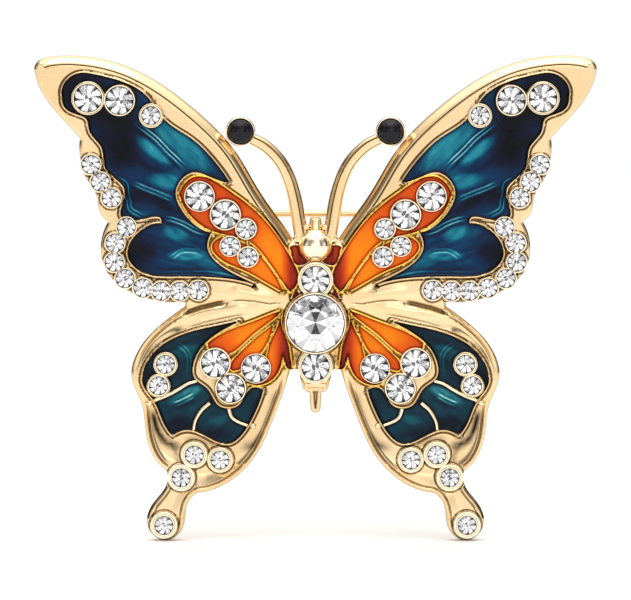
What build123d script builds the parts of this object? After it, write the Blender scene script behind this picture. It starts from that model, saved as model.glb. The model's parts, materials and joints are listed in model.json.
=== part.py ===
from build123d import *
import os

# Butterfly brooch: one plated casting with enamelled cells and set crystals, and a hinged pin
# with a turning safety catch on its back.
# Millimetres. X runs across the wings, +Z is up as worn, and the face looks along -Y.
# The origin is the middle of the closed pin stem, on the butterfly's plane of symmetry.
# Outlines give the +X half, as (distance from the middle, height); the other half is mirrored.

os.makedirs("parts", exist_ok=True)

# Depths, each a height above the casting's flat back
STEM_STANDOFF = 2.6
CELL_FLOOR = 1.2
ENAMEL_TOP = 1.7
LAND_TOP = 2.0
CUP_TOP = 2.5
TIP_CUP_TOP = 2.1
BODY_CUP_TOP = 3.6
CENTRE_CUP_TOP = 4.2
GIRDLE_BELOW_RIM = 0.1

# Round stones: radius of the girdle
SMALL = 0.95
MEDIUM = 1.45
CENTRE = 3.05
TIP = 1.33
GLUE_GAP = 0.03
GIRDLE_THICKNESS = 0.05
PAVILION_SHARE = 0.78
CROWN_SHARE = 0.36
TABLE_SHARE = 0.55
DOME_RISE = 0.85
DOME_RADIUS = (TIP**2 + DOME_RISE**2) / (2 * DOME_RISE)

# Head, antennae and the tail of the body
HEAD_Z = -3.25
HEAD_RADIUS = 1.66
HEAD_CENTRE_HEIGHT = 2.3
ANTENNA_RADIUS = 0.72
ANTENNA_HEIGHT = 1.0
TAIL_TOP = 2.4

# Pin stem and its hinge
HINGE_X = -15.0
STEM_RADIUS = 0.35
STEM_HALF_LENGTH = 12.0
STEM_ROOT_RADIUS = 0.45
STEM_CATCH_RADIUS = 0.31
STEM_TAPER_X = 16.9
STEM_TIP_X = 19.4
STEM_POINT_RADIUS = 0.04
EYE_RADIUS = 0.9
EYE_HALF_WIDTH = 0.6
EYE_HOLE_RADIUS = 0.4
RIVET_RADIUS = 0.35
RIVET_HEAD_RADIUS = 0.6
RIVET_HEAD_THICKNESS = 0.25
CHEEK_INNER_Z = 0.7
CHEEK_THICKNESS = 0.55
CHEEK_RADIUS = 0.95
CHEEK_FOOT = 1.5
SOLDER_PLATE_LENGTH = 4.4
SOLDER_PLATE_WIDTH = 3.8
SOLDER_PLATE_THICKNESS = 0.5
SOLDER_PLATE_CORNER = 0.6

# Safety catch
CATCH_X = 14.4
HOUSING_LENGTH = 2.4
HOUSING_RADIUS = 1.55
HOUSING_BORE_RADIUS = 1.1
HOUSING_SLOT_WIDTH = 1.1
PEDESTAL_WIDTH = 2.0
ROLLER_RADIUS = 1.05
ROLLER_BORE_RADIUS = 0.52
ROLLER_SLOT_WIDTH = 0.95
ROLLER_LIP_RADIUS = 1.35
ROLLER_LIP_THICKNESS = 0.45
ROLLER_END_GAP = 0.06
TAB_REACH = 2.7
TAB_WIDTH = 1.1
TAB_THICKNESS = 0.7

# Silhouette of one side: the upper wing's leading edge out to its tip, its scalloped outer
# margin, the crease between the wings, and the lower wing down to its tail and back to the body
LEADING_EDGE = [(1.6, -4.0), (3.2, -1.45), (5.85, 2.3), (8.65, 6.9), (12.8, 11.15), (16.75, 14.1),
                (21.05, 16.15), (25.3, 16.95), (28.3, 16.85), (29.6, 16.35), (29.95, 15.7)]
WING_TIP_TO_FIRST_SCALLOP = [(29.95, 15.7), (29.3, 13.4), (27.3, 10.6), (25.1, 8.2)]
FIRST_TO_SECOND_SCALLOP = [(25.1, 8.2), (25.1, 6.2), (24.2, 3.5), (23.4, 2.2), (23.15, 0.8),
                           (22.1, -0.7)]
SECOND_SCALLOP_TO_CREASE = [(22.1, -0.7), (22.9, -3.2), (22.25, -6.1), (20.15, -8.0), (17.4, -9.05),
                            (13.9, -9.3)]
LOWER_WING_EDGE = [(13.9, -9.75), (16.5, -11.7), (19.0, -14.6), (19.65, -17.4), (18.6, -20.2),
                   (18.15, -23.3), (17.5, -25.5), (15.9, -27.4)]
TAIL_EDGE = [(15.9, -27.4), (16.1, -29.2), (17.6, -31.2), (18.0, -33.2), (16.2, -34.85),
             (14.3, -33.7), (13.8, -31.3), (12.6, -29.75)]
LOWER_WING_RETURN = [(12.6, -29.75), (9.3, -28.6), (6.5, -25.9), (4.5, -21.8), (3.2, -18.2),
                     (2.7, -16.5)]

# Upper wing's blue-green cell: along the front border to a point beside the orange lobes,
# round their curled tip, in again to a second point, and back past the stone chain
TEAL_UPPER_FRONT = [(26.9, 12.6), (26.6, 14.1), (25.3, 15.0), (23.2, 14.85), (20.9, 14.25),
                    (18.05, 12.65), (16.0, 10.0), (13.4, 8.2), (10.9, 5.8), (9.25, 3.5)]
TEAL_UPPER_CURL = [(9.25, 3.5), (11.2, 4.15), (13.1, 4.6), (14.9, 2.9), (14.3, 0.45),
                   (11.2, -1.9)]
TEAL_UPPER_POINT_TOP = [(11.2, -1.9), (11.55, -3.7), (9.5, -5.9), (6.45, -7.4)]
TEAL_UPPER_BELOW = [(6.45, -7.4), (10.4, -6.6), (15.2, -6.5), (18.7, -5.9), (19.95, -4.3),
                    (18.6, -1.7), (16.4, -0.95)]
TEAL_UPPER_NOTCH = [(16.4, -0.95), (16.35, -0.45), (17.5, -0.15)]
TEAL_UPPER_OUTER = [(17.5, -0.15), (20.7, 0.4), (20.3, 2.8), (22.3, 5.0), (22.7, 7.2),
                    (24.0, 9.0), (24.3, 10.2), (25.7, 10.9), (26.9, 12.6)]

# Orange lobes of the upper wing, side by side with a rib between them. The outer lobe's root
# runs down beside the body.
LOBE_OUTER_ROOT = [(2.75, -8.1), (2.0, -7.2), (2.2, -5.5)]
LOBE_OUTER_FRONT = [(2.2, -5.5), (3.9, -2.65), (6.1, 0.05), (9.3, 2.6), (12.6, 4.05), (14.4, 2.4)]
LOBE_OUTER_BACK = [(14.4, 2.4), (13.6, 0.45), (11.0, -1.6), (7.0, -2.75), (5.0, -4.8),
                   (2.75, -8.1)]
LOBE_INNER_FRONT = [(3.5, -8.1), (5.0, -5.55), (7.0, -3.5), (10.1, -2.45)]
LOBE_INNER_BACK = [(10.1, -2.45), (10.95, -3.4), (9.8, -4.8), (7.7, -5.75), (5.5, -6.95),
                   (3.5, -8.1)]

# Lower wing's blue-green cell
TEAL_LOWER_TOP = [(8.1, -11.3), (11.6, -12.1), (15.3, -13.3), (17.6, -15.2), (18.4, -17.9),
                  (17.1, -20.0), (16.25, -22.0), (15.3, -23.5)]
TEAL_LOWER_BOTTOM = [(15.3, -23.5), (12.4, -23.2), (9.4, -24.4), (7.0, -22.0), (5.65, -18.7)]
TEAL_LOWER_INNER = [(5.65, -18.7), (6.9, -18.6), (8.2, -20.4), (10.4, -20.4), (11.6, -18.6),
                    (12.95, -17.5), (12.9, -15.2), (11.0, -12.9), (8.1, -11.3)]

# Orange cells of the lower wing, fanned about the body. The lowest has a finger beside the body.
FAN_UPPER_TOP = [(3.7, -10.3), (4.7, -10.65), (6.3, -11.3), (9.9, -12.7), (11.4, -13.7)]
FAN_UPPER_BOTTOM = [(11.4, -13.7), (10.7, -15.2), (9.1, -14.7), (6.65, -12.6), (5.1, -11.45),
                    (3.7, -10.3)]
FAN_MIDDLE_TOP = [(4.65, -11.9), (6.7, -13.5), (8.8, -15.6)]
FAN_MIDDLE_BOTTOM = [(8.8, -15.6), (8.9, -16.5), (7.4, -16.0), (5.7, -14.4), (4.65, -11.9)]
FAN_LOWER_TOP = [(3.75, -11.1), (4.05, -12.1), (4.8, -13.8), (5.2, -15.5), (6.9, -17.95)]
FAN_LOWER_BOTTOM = [(6.9, -17.95), (5.9, -18.05), (4.3, -17.1), (3.75, -16.0), (3.5, -14.95)]
FAN_LOWER_FINGER = [(3.5, -14.95), (3.25, -15.6), (3.0, -16.2), (2.5, -16.45)]
FAN_LOWER_BODY_SIDE = [(2.5, -16.45), (2.75, -15.3), (2.95, -13.9), (3.55, -12.2), (3.75, -11.1)]

# Dark red cells along the body: one between head and lobe, a small one above the centre stone
SHOULDER_CELL = [(2.65, -3.4), (1.9, -3.4), (1.6, -4.25), (0.85, -4.9), (1.3, -5.2), (2.0, -5.2),
                 (2.4, -4.45), (2.65, -3.4)]
WAIST_CELL = [(2.1, -8.0), (1.8, -8.4), (2.45, -8.85)]

# Neck between the antenna roots and the tail segment with its tongue, half outlines
NECK_SIDE = [(0, -0.3), (0.55, -0.3), (0.65, -1.3), (1.9, -1.7), (2.5, -2.6), (2.2, -4.0),
             (0, -4.0)]
TAIL_SIDE = [(0, -15.0), (1.9, -15.0), (1.95, -16.2), (1.55, -17.7), (1.35, -18.5),
             (0.95, -18.9), (0, -18.9)]
TONGUE_WIDTH_TOP = 1.4
TONGUE_WIDTH_END = 1.1
TONGUE_START_Z = -18.0
TONGUE_END_Z = -20.6
TONGUE_TOP = 1.7

# Stones of one side: name, x, z, girdle radius, cup radius
SINGLE_STONES = [
    ("tip_front", 24.2, 12.45, MEDIUM, 1.8),
    ("tip_middle", 20.85, 12.2, MEDIUM, 1.75),
    ("tip_inner", 17.5, 10.6, SMALL, 1.32),
    ("lobe_first", 12.35, 2.0, MEDIUM, 1.65),
    ("lobe_second", 9.6, 0.05, MEDIUM, 1.75),
    ("lobe_third", 7.4, -1.45, SMALL, 1.25),
    ("lobe_fourth", 9.1, -3.3, SMALL, 1.15),
    ("lobe_fifth", 7.2, -4.45, SMALL, 1.2),
    ("lower_edge_upper", 16.0, -15.9, SMALL, 1.32),
    ("lower_edge_lower", 16.75, -18.2, SMALL, 1.28),
    ("fan_outer", 10.7, -15.8, MEDIUM, 1.72),
    ("fan_inner", 6.35, -16.35, MEDIUM, 1.62),
    ("fan_bottom", 9.05, -18.5, MEDIUM, 1.75),
    ("border_upper", 12.95, -25.6, SMALL, 1.43),
    ("border_inner", 10.2, -26.15, SMALL, 1.38),
    ("border_outer", 14.35, -28.05, SMALL, 1.45),
    ("tail", 16.2, -33.15, SMALL, 1.45),
]
MARGIN_TRIO = [(23.9, 5.4), (22.9, 3.55), (21.75, 1.85)]
MARGIN_CHAIN = [(20.15, -1.25), (21.35, -2.95), (21.45, -5.0), (20.3, -6.75), (18.4, -7.75),
                (16.45, -8.1), (14.5, -8.1), (12.5, -8.0)]
CHAIN_CUP = 1.15
BODY_STONES = [
    ("thorax", -6.85, MEDIUM, 1.9, BODY_CUP_TOP),
    ("centre", -11.45, CENTRE, 3.35, CENTRE_CUP_TOP),
    ("abdomen", -16.1, MEDIUM, 1.85, BODY_CUP_TOP),
]
ANTENNA_TIP = (8.0, 8.9)
ANTENNA_TIP_CUP = 1.6
TIP_SEAT_DEPTH = 0.95
CUP_FOOT = 0.4


def level(height):
    """The plane at a height above the casting's back, looking out of the face."""
    return Plane.XZ.offset(STEM_STANDOFF + height)


def seat_plane(x, z):
    """A stone's own plane from the casting's back; a height above it is a negative Y."""
    return Plane(origin=(x, -STEM_STANDOFF, z), x_dir=(1, 0, 0), z_dir=(0, 0, 1))


def stone_at(x, z, radius, girdle):
    """One round stone: cone below, thin girdle, bevelled crown with a flat table."""
    table = girdle + GIRDLE_THICKNESS + CROWN_SHARE * radius
    with BuildPart() as stone:
        with BuildSketch(seat_plane(x, z)):
            with BuildLine():
                Polyline(
                    (0, -(girdle - PAVILION_SHARE * radius)),
                    (radius, -girdle),
                    (radius, -(girdle + GIRDLE_THICKNESS)),
                    (TABLE_SHARE * radius, -table),
                    (0, -table),
                    close=True,
                )
            make_face()
        revolve(axis=Axis((x, 0, z), (0, 1, 0)))
    return stone.part


def seat_at(x, z, radius, girdle, rim):
    """The hollow that a stone is glued into: its cone and girdle, with the glue line."""
    reach = radius + GLUE_GAP
    with BuildPart() as seat:
        with BuildSketch(seat_plane(x, z)):
            with BuildLine():
                Polyline(
                    (0, -(girdle - PAVILION_SHARE * radius - GLUE_GAP)),
                    (reach, -(girdle - GLUE_GAP)),
                    (reach, -(rim + 1)),
                    (0, -(rim + 1)),
                    close=True,
                )
            make_face()
        revolve(axis=Axis((x, 0, z), (0, 1, 0)))
    return seat.part


def save(part, name):
    """Writes one finished piece under its name."""
    part.label = name
    export_step(part, f"parts/{name}.step")


def save_pair(right, name):
    """Writes a piece and its mirror image on the other wing."""
    with BuildPart() as left:
        mirror(right, about=Plane.YZ)
    save(right, f"{name}_right")
    save(left.part, f"{name}_left")


def cell(*curves):
    """The outline of an enamel cell at the height of its floor, from its joined curves."""
    with BuildSketch(level(CELL_FLOOR)) as outline:
        with BuildLine():
            for curve in curves:
                Spline(*curve)
        make_face()
    return outline.sketch


# Enamel cells
teal_upper = cell(TEAL_UPPER_FRONT, TEAL_UPPER_CURL, TEAL_UPPER_POINT_TOP, TEAL_UPPER_BELOW,
                  TEAL_UPPER_NOTCH, TEAL_UPPER_OUTER)
teal_lower = cell(TEAL_LOWER_TOP, TEAL_LOWER_BOTTOM, TEAL_LOWER_INNER)
lobe_outer = cell(LOBE_OUTER_ROOT, LOBE_OUTER_FRONT, LOBE_OUTER_BACK)
lobe_inner = cell(LOBE_INNER_FRONT, LOBE_INNER_BACK)
fan_upper = cell(FAN_UPPER_TOP, FAN_UPPER_BOTTOM)
fan_middle = cell(FAN_MIDDLE_TOP, FAN_MIDDLE_BOTTOM)
fan_lower = cell(FAN_LOWER_TOP, FAN_LOWER_BOTTOM, FAN_LOWER_FINGER, FAN_LOWER_BODY_SIDE)
shoulder = cell(SHOULDER_CELL)
with BuildSketch(level(CELL_FLOOR)) as waist:
    with BuildLine():
        Polyline(*WAIST_CELL, close=True)
    make_face()

enamels = {
    "enamel_teal_upper": [teal_upper],
    "enamel_teal_lower": [teal_lower],
    "enamel_orange_upper": [lobe_outer, lobe_inner],
    "enamel_orange_lower": [fan_upper, fan_middle, fan_lower],
    "enamel_red": [shoulder, waist.sketch],
}

# Stones of one wing, as (x, z, girdle radius, cup radius)
chain_stones = [(x, z, SMALL, CHAIN_CUP) for x, z in MARGIN_CHAIN]
trio_stones = [(x, z, SMALL, CHAIN_CUP) for x, z in MARGIN_TRIO]
wing_stones = [stone[1:] for stone in SINGLE_STONES] + chain_stones + trio_stones
wing_girdle = CUP_TOP - GIRDLE_BELOW_RIM
tip_x, tip_z = ANTENNA_TIP

# Casting: one half, mirrored, then what stands on the middle line
with BuildPart() as casting:
    with BuildSketch(level(0)):
        with BuildLine():
            Spline(*LEADING_EDGE)
            Spline(*WING_TIP_TO_FIRST_SCALLOP)
            Spline(*FIRST_TO_SECOND_SCALLOP)
            Spline(*SECOND_SCALLOP_TO_CREASE)
            Line(SECOND_SCALLOP_TO_CREASE[-1], LOWER_WING_EDGE[0])
            Spline(*LOWER_WING_EDGE)
            Spline(*TAIL_EDGE)
            Spline(*LOWER_WING_RETURN)
            Polyline(LOWER_WING_RETURN[-1], (0, -16.5), (0, -4.0), LEADING_EDGE[0])
        make_face()
    extrude(amount=LAND_TOP)
    for cells in enamels.values():
        for outline in cells:
            extrude(outline, amount=LAND_TOP - CELL_FLOOR, mode=Mode.SUBTRACT)
    with BuildSketch(level(0)):
        with BuildLine():
            Polyline(*NECK_SIDE, close=True)
        make_face()
    extrude(amount=CELL_FLOOR)
    with BuildSketch(level(0)):
        with BuildLine():
            Polyline(*TAIL_SIDE, close=True)
        make_face()
    extrude(amount=TAIL_TOP)
    for x, z, radius, cup in wing_stones:
        with BuildSketch(level(CUP_FOOT)):
            with Locations((x, z)):
                Circle(cup)
        extrude(amount=CUP_TOP - CUP_FOOT)
    with BuildLine(level(ANTENNA_HEIGHT)) as antenna:
        lower_bow = ThreePointArc((1.3, -2.9), (2.25, 1.95), (3.85, 5.8))
        TangentArc((3.85, 5.8), (7.3, 8.3), tangent=lower_bow % 1)
    with BuildSketch(Plane(origin=antenna.line @ 0, z_dir=antenna.line % 0)):
        Circle(ANTENNA_RADIUS)
    sweep(path=antenna.line)
    with BuildSketch(level(CUP_FOOT)):
        with Locations(ANTENNA_TIP):
            Circle(ANTENNA_TIP_CUP)
    extrude(amount=TIP_CUP_TOP - CUP_FOOT)
    with BuildSketch(level(TIP_CUP_TOP - TIP_SEAT_DEPTH)):
        with Locations(ANTENNA_TIP):
            Circle(TIP + GLUE_GAP)
    extrude(amount=TIP_SEAT_DEPTH, mode=Mode.SUBTRACT)
    for x, z, radius, cup in wing_stones:
        add(seat_at(x, z, radius, wing_girdle, CUP_TOP), mode=Mode.SUBTRACT)
    mirror(about=Plane.YZ)
    with BuildSketch(level(0)):
        with BuildLine():
            Polyline(
                (-TONGUE_WIDTH_END / 2, TONGUE_END_Z),
                (-TONGUE_WIDTH_TOP / 2, TONGUE_START_Z),
                (TONGUE_WIDTH_TOP / 2, TONGUE_START_Z),
                (TONGUE_WIDTH_END / 2, TONGUE_END_Z),
                close=True,
            )
        make_face()
        with Locations((0, TONGUE_END_Z)):
            Circle(TONGUE_WIDTH_END / 2)
    extrude(amount=TONGUE_TOP)
    with Locations((0, -STEM_STANDOFF - HEAD_CENTRE_HEIGHT, HEAD_Z)):
        Sphere(HEAD_RADIUS)
    for name, z, radius, cup, rim in BODY_STONES:
        with BuildSketch(level(CUP_FOOT)):
            with Locations((0, z)):
                Circle(cup)
        extrude(amount=rim - CUP_FOOT)
    for name, z, radius, cup, rim in BODY_STONES:
        add(seat_at(0, z, radius, rim - GIRDLE_BELOW_RIM, rim), mode=Mode.SUBTRACT)

save(casting.part, "casting")

# Enamel: each cell filled to just under its border, and stopped at the cups that stand in it
for name, cells in enamels.items():
    with BuildPart() as enamel:
        for outline in cells:
            extrude(outline, amount=ENAMEL_TOP - CELL_FLOOR)
        for x, z, radius, cup in wing_stones:
            with BuildSketch(level(CELL_FLOOR)):
                with Locations((x, z)):
                    Circle(cup)
            extrude(amount=ENAMEL_TOP - CELL_FLOOR, mode=Mode.SUBTRACT)
        with BuildSketch(level(CELL_FLOOR)):
            for body_stone, z, radius, cup, rim in BODY_STONES:
                with Locations((0, z)):
                    Circle(cup)
        extrude(amount=ENAMEL_TOP - CELL_FLOOR, mode=Mode.SUBTRACT)
        with Locations((0, -STEM_STANDOFF - HEAD_CENTRE_HEIGHT, HEAD_Z)):
            Sphere(HEAD_RADIUS, mode=Mode.SUBTRACT)
    save_pair(enamel.part, name)

# Stones, each a piece of its own but for the two rows along the wing's margin
for name, x, z, radius, cup in SINGLE_STONES:
    save_pair(stone_at(x, z, radius, wing_girdle), f"crystal_{name}")
for name, row in (("margin_trio", trio_stones), ("margin_chain", chain_stones)):
    with BuildPart() as stones:
        for x, z, radius, cup in row:
            add(stone_at(x, z, radius, wing_girdle))
    save_pair(stones.part, f"crystals_{name}")
for name, z, radius, cup, rim in BODY_STONES:
    save(stone_at(0, z, radius, rim - GIRDLE_BELOW_RIM), f"crystal_{name}")

# Black domed stone in the cup at the tip of each antenna
with BuildPart() as dome:
    with BuildSketch(seat_plane(tip_x, tip_z)):
        with BuildLine():
            Line((0, -TIP_CUP_TOP + TIP_SEAT_DEPTH), (TIP, -TIP_CUP_TOP + TIP_SEAT_DEPTH))
            Line((TIP, -TIP_CUP_TOP + TIP_SEAT_DEPTH), (TIP, -TIP_CUP_TOP))
            RadiusArc((TIP, -TIP_CUP_TOP), (0, -TIP_CUP_TOP - DOME_RISE), DOME_RADIUS)
            Line((0, -TIP_CUP_TOP - DOME_RISE), (0, -TIP_CUP_TOP + TIP_SEAT_DEPTH))
        make_face()
    revolve(axis=Axis((tip_x, 0, tip_z), (0, 1, 0)))
save_pair(dome.part, "black_stone")

# Hinge bracket: a plate soldered to the back, and two cheeks that hold the rivet
solder_face = Plane.XZ.offset(STEM_STANDOFF)
plate_back = -STEM_STANDOFF + SOLDER_PLATE_THICKNESS
with BuildPart() as bracket:
    with BuildSketch(solder_face):
        with Locations((HINGE_X, 0)):
            RectangleRounded(SOLDER_PLATE_LENGTH, SOLDER_PLATE_WIDTH, SOLDER_PLATE_CORNER)
    extrude(amount=-SOLDER_PLATE_THICKNESS)
    for bottom in (CHEEK_INNER_Z, -CHEEK_INNER_Z - CHEEK_THICKNESS):
        with BuildSketch(Plane.XY.offset(bottom)):
            with Locations((HINGE_X, 0)):
                Circle(CHEEK_RADIUS)
            with BuildLine():
                Polyline(
                    (HINGE_X - CHEEK_FOOT, plate_back),
                    (HINGE_X - CHEEK_RADIUS, 0),
                    (HINGE_X + CHEEK_RADIUS, 0),
                    (HINGE_X + CHEEK_FOOT, plate_back),
                    close=True,
                )
            make_face()
        extrude(amount=CHEEK_THICKNESS)
    with Locations((HINGE_X, 0, 0)):
        Cylinder(RIVET_RADIUS, SOLDER_PLATE_WIDTH, mode=Mode.SUBTRACT)
save(bracket.part, "hinge_bracket")

# Hinge rivet, headed over outside both cheeks
cheek_outer = CHEEK_INNER_Z + CHEEK_THICKNESS
with BuildPart() as rivet:
    with Locations((HINGE_X, 0, 0)):
        Cylinder(RIVET_RADIUS, 2 * cheek_outer)
    for middle in (-cheek_outer - RIVET_HEAD_THICKNESS / 2, cheek_outer + RIVET_HEAD_THICKNESS / 2):
        with Locations((HINGE_X, 0, middle)):
            Cylinder(RIVET_HEAD_RADIUS, RIVET_HEAD_THICKNESS)
save(rivet.part, "hinge_rivet")

# Pin stem: eye about the rivet, stout root, straight wire, slight taper, sharp point
with BuildPart() as stem:
    with BuildSketch(Plane.XY):
        with BuildLine():
            Polyline(
                (HINGE_X, 0),
                (HINGE_X, STEM_ROOT_RADIUS),
                (-STEM_HALF_LENGTH, STEM_RADIUS),
                (STEM_HALF_LENGTH, STEM_RADIUS),
                (STEM_TAPER_X, STEM_CATCH_RADIUS),
                (STEM_TIP_X, STEM_POINT_RADIUS),
                (STEM_TIP_X, 0),
                close=True,
            )
        make_face()
    revolve(axis=Axis.X)
    with Locations((HINGE_X, 0, 0)):
        Cylinder(EYE_RADIUS, 2 * EYE_HALF_WIDTH)
    with Locations((HINGE_X, 0, 0)):
        Cylinder(EYE_HOLE_RADIUS, 2 * EYE_HALF_WIDTH, mode=Mode.SUBTRACT)
save(stem.part, "pin_stem")

# Catch base: a soldered plate carrying a slotted tube about the stem's line
catch_end = CATCH_X + HOUSING_LENGTH
with BuildPart() as catch:
    with BuildSketch(solder_face):
        with Locations((CATCH_X + HOUSING_LENGTH / 2, 0)):
            RectangleRounded(SOLDER_PLATE_LENGTH, SOLDER_PLATE_WIDTH, SOLDER_PLATE_CORNER)
    extrude(amount=-SOLDER_PLATE_THICKNESS)
    with BuildSketch(Plane.YZ.offset(CATCH_X)):
        Circle(HOUSING_RADIUS)
        with Locations((plate_back / 2, 0)):
            Rectangle(-plate_back, PEDESTAL_WIDTH)
        Circle(HOUSING_BORE_RADIUS, mode=Mode.SUBTRACT)
        with Locations((HOUSING_RADIUS, 0)):
            Rectangle(2 * HOUSING_RADIUS, HOUSING_SLOT_WIDTH, mode=Mode.SUBTRACT)
    extrude(amount=HOUSING_LENGTH)
save(catch.part, "catch_base")

# Catch roller: a slotted sleeve inside the tube, a lip at each end, and a thumb tab
lip_start = CATCH_X - ROLLER_END_GAP - ROLLER_LIP_THICKNESS
tab_start = catch_end + ROLLER_END_GAP
with BuildPart() as roller:
    with BuildSketch(Plane.YZ.offset(lip_start)):
        Circle(ROLLER_LIP_RADIUS)
    extrude(amount=ROLLER_LIP_THICKNESS)
    with BuildSketch(Plane.YZ.offset(lip_start)):
        Circle(ROLLER_RADIUS)
    extrude(amount=tab_start - lip_start)
    with BuildSketch(Plane.YZ.offset(tab_start)):
        Circle(ROLLER_LIP_RADIUS)
        with Locations((0, -TAB_REACH / 2)):
            Rectangle(TAB_WIDTH, TAB_REACH)
        with Locations((0, -TAB_REACH)):
            Circle(TAB_WIDTH / 2)
    extrude(amount=TAB_THICKNESS)
    with BuildSketch(Plane.YZ.offset(lip_start)):
        Circle(ROLLER_BORE_RADIUS)
        with Locations((ROLLER_LIP_RADIUS, 0)):
            Rectangle(2 * ROLLER_LIP_RADIUS, ROLLER_SLOT_WIDTH)
    extrude(amount=tab_start + TAB_THICKNESS - lip_start, mode=Mode.SUBTRACT)
save(roller.part, "catch_roller")
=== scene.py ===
"""Looks of the butterfly brooch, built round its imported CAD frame.

Plan places are millimetres, x to the right and z up, and heights are millimetres out of the
casting's flat back. Outlines, stones and cups are read from the frame's own meshes.
"""

import json
import math

import bmesh
import bpy
import numpy as np
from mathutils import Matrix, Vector, kdtree
from mathutils.geometry import delaunay_2d_cdt

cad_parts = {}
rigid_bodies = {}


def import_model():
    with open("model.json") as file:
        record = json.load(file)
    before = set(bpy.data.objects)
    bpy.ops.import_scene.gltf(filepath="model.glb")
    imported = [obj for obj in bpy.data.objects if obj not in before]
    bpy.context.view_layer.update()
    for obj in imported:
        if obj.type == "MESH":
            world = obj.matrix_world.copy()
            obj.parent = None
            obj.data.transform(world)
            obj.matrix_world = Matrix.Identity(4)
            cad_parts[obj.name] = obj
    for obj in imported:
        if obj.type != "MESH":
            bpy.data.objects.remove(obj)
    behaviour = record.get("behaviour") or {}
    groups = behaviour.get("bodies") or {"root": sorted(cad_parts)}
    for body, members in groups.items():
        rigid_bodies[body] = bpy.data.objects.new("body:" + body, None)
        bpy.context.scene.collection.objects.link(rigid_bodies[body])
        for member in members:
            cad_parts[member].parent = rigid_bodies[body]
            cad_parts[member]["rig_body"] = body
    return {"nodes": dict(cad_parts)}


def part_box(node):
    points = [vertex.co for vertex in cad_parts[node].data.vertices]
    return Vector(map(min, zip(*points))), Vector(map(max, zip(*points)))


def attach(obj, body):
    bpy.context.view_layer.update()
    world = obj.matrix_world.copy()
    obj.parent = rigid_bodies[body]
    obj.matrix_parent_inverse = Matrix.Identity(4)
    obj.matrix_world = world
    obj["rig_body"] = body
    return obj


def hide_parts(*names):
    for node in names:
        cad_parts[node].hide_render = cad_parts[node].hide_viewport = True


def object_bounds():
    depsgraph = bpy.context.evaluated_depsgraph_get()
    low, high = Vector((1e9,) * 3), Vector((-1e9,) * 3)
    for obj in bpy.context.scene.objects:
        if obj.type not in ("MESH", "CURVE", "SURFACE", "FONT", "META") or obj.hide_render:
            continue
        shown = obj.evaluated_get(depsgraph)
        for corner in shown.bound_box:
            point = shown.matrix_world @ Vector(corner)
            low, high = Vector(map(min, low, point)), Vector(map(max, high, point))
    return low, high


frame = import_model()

CAD_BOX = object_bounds()
MM = 0.001
BACK_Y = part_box("casting")[1].y / MM
ENAMEL_TOP = BACK_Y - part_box("enamel_teal_upper_right")[0].y / MM
CELL_FLOOR = BACK_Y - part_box("enamel_teal_upper_right")[1].y / MM
LAND_TOP = ENAMEL_TOP + 0.3
SIDES = (("right", 1), ("left", -1))

# Spacing of the meshes, what counts as level, a corner of an outline and a sharp edge of a piece
SAMPLE_STEP = 0.06
ROW_STEP = 0.32
GRID_STEP = 0.5
ENAMEL_GRID_STEP = 0.2
SLOPE_STEP = 0.02
LEVEL = 1e-3
CORNER = math.radians(26)
SHARP_EDGE = math.radians(38)

# Sizes of the casting's relief
BEVEL_WIDTH = 0.95
BEVEL_DROP = 0.8
EDGE_ROUND = 0.42
GROOVE_HALF_WIDTH = 0.07
WELL_FLOOR = 0.36
COVE_DEPTH = 0.56
RIM_LINE = 0.56
BEAD_LINE = 0.35
CUP_GROOVE = 0.15
BACK_FIELD = 0.3
NECK_LEVEL = 1.25


# ---- reading the frame ----


def outlines(node, back=False):
    """The closed outlines of a CAD node's flat top or back, with what they bound on the left."""
    mesh = frame["nodes"][node].data
    co = np.array([v.co for v in mesh.vertices]) / MM
    level = co[:, 1].max() if back else co[:, 1].min()
    plan = [(round(float(x), 4), round(float(z), 4)) for x, _, z in co]
    edges = set()
    for face in mesh.polygons:
        ring = list(face.vertices)[::-1 if back else 1]
        if np.abs(co[ring, 1] - level).max() < LEVEL:
            edges |= {(plan[a], plan[b]) for a, b in zip(ring, ring[1:] + ring[:1])}
    onward = {}
    for a, b in sorted(edges):
        if (b, a) not in edges:
            onward.setdefault(a, []).append(b)
    loops = []
    for first in onward:
        while onward[first]:
            loop = [first]
            while (following := onward[loop[-1]].pop()) != first:
                loop.append(following)
            loops.append(np.array(loop))
    return loops


def smooth(loop, step):
    """The same outline, rounded out between its points and sampled evenly, with corners kept."""
    leg = np.roll(loop, -1, 0) - loop
    length = np.linalg.norm(leg, axis=1)
    ahead = leg / length[:, None]
    behind = np.roll(ahead, 1, 0)
    before = np.roll(length, 1)
    tangent = (ahead * before[:, None] + behind * length[:, None]) / (length + before)[:, None]
    sharp = np.arccos(np.clip((ahead * behind).sum(1), -1, 1))[:, None] > CORNER
    then_sharp, then_tangent = np.roll(sharp, -1, 0), np.roll(tangent, -1, 0)
    leave = np.where(then_sharp, ahead, 1.5 * ahead - 0.5 * then_tangent)
    arrive = np.where(sharp, ahead, 1.5 * ahead - 0.5 * tangent)
    leave = np.where(sharp, leave, tangent)
    arrive = np.where(then_sharp, arrive, then_tangent)
    pieces = []
    for a, b, start, end, size in zip(loop, np.roll(loop, -1, 0), leave, arrive, length):
        count = max(1, round(size / step))
        t = (np.arange(count) / count)[:, None]
        pieces.append(
            (2 * t**3 - 3 * t**2 + 1) * a + (t**3 - 2 * t**2 + t) * size * start
            + (3 * t**2 - 2 * t**3) * b + (t**3 - t**2) * size * end
        )
    return np.concatenate(pieces)


def unit(vectors):
    return vectors / np.linalg.norm(vectors, axis=1)[:, None]


def to_right(run):
    """Unit vectors to the right of plan vectors."""
    return unit(np.stack([run[:, 1], -run[:, 0]], 1))


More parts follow.
